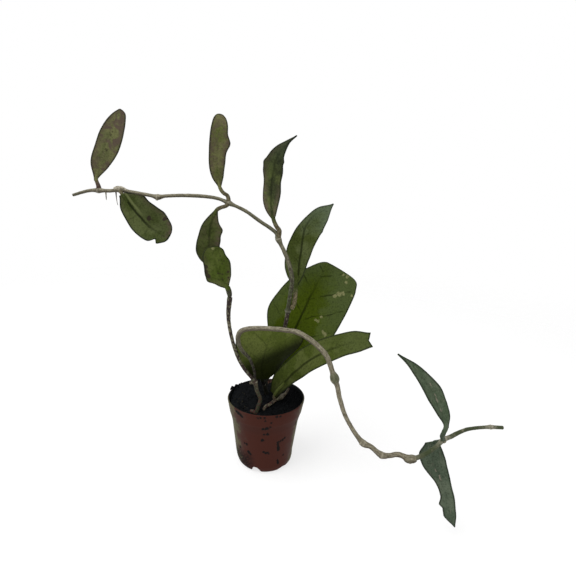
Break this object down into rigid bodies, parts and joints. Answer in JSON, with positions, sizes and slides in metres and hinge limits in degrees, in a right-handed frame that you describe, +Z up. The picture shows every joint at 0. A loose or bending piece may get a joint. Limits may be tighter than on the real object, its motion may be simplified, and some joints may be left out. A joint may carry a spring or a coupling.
{
  "type": "potted hoya plant",
  "caption": "Trailing hoya cuttings with thick waxy leaves on bare woody vines, standing in a small round terracotta-brown nursery pot.",
  "frame": {"origin": "middle of the pot's foot, on the surface that it stands on", "axes": "+Z up; -Y towards the viewer of the picture; +X to the viewer's right, the way the long vine trails"},
  "size_m": [0.3114, 0.1227, 0.2682],
  "materials": {
    "pot": "matt terracotta-brown moulded plastic",
    "soil": "near-black crumbly bark and peat compost",
    "vine_tall": "dry grey-brown stem",
    "vine_forked": "dry grey-beige stem, green towards its tip",
    "old_stump": "old brown stem stump",
    "leaf_broad_back": "waxy bright green with dark veins and pale scars",
    "leaf_broad_left": "waxy mid green",
    "leaf_strap_low": "waxy mid green with a sunken midrib",
    "leaf_upper_middle": "waxy green, greyer to the tip",
    "leaf_upper_twisted": "waxy dark green, blue-grey at the tip",
    "leaf_top_centre": "waxy olive mottled purple-brown",
    "leaf_hanging_centre": "waxy dark green tinged purple",
    "leaf_left_stem": "waxy bright green with dark specks",
    "leaf_top_left": "waxy olive mottled purple-brown",
    "leaf_hanging_left": "waxy green with a purplish margin and dark spots",
    "leaf_right_rising": "waxy blue-green with fine pale streaks",
    "leaf_right_hanging": "waxy blue-green with fine pale streaks"
  },
  "bodies": {
    "root": {"pot": "pot", "soil": "soil", "vine_tall": "vine_tall", "vine_forked": "vine_forked", "old_stump": "old_stump", "leaf_broad_back": "leaf_broad_back", "leaf_broad_left": "leaf_broad_left", "leaf_strap_low": "leaf_strap_low", "leaf_upper_middle": "leaf_upper_middle", "leaf_upper_twisted": "leaf_upper_twisted", "leaf_top_centre": "leaf_top_centre", "leaf_hanging_centre": "leaf_hanging_centre", "leaf_left_stem": "leaf_left_stem", "leaf_top_left": "leaf_top_left", "leaf_hanging_left": "leaf_hanging_left", "leaf_right_rising": "leaf_right_rising", "leaf_right_hanging": "leaf_right_hanging"}
  },
  "joints": []
}
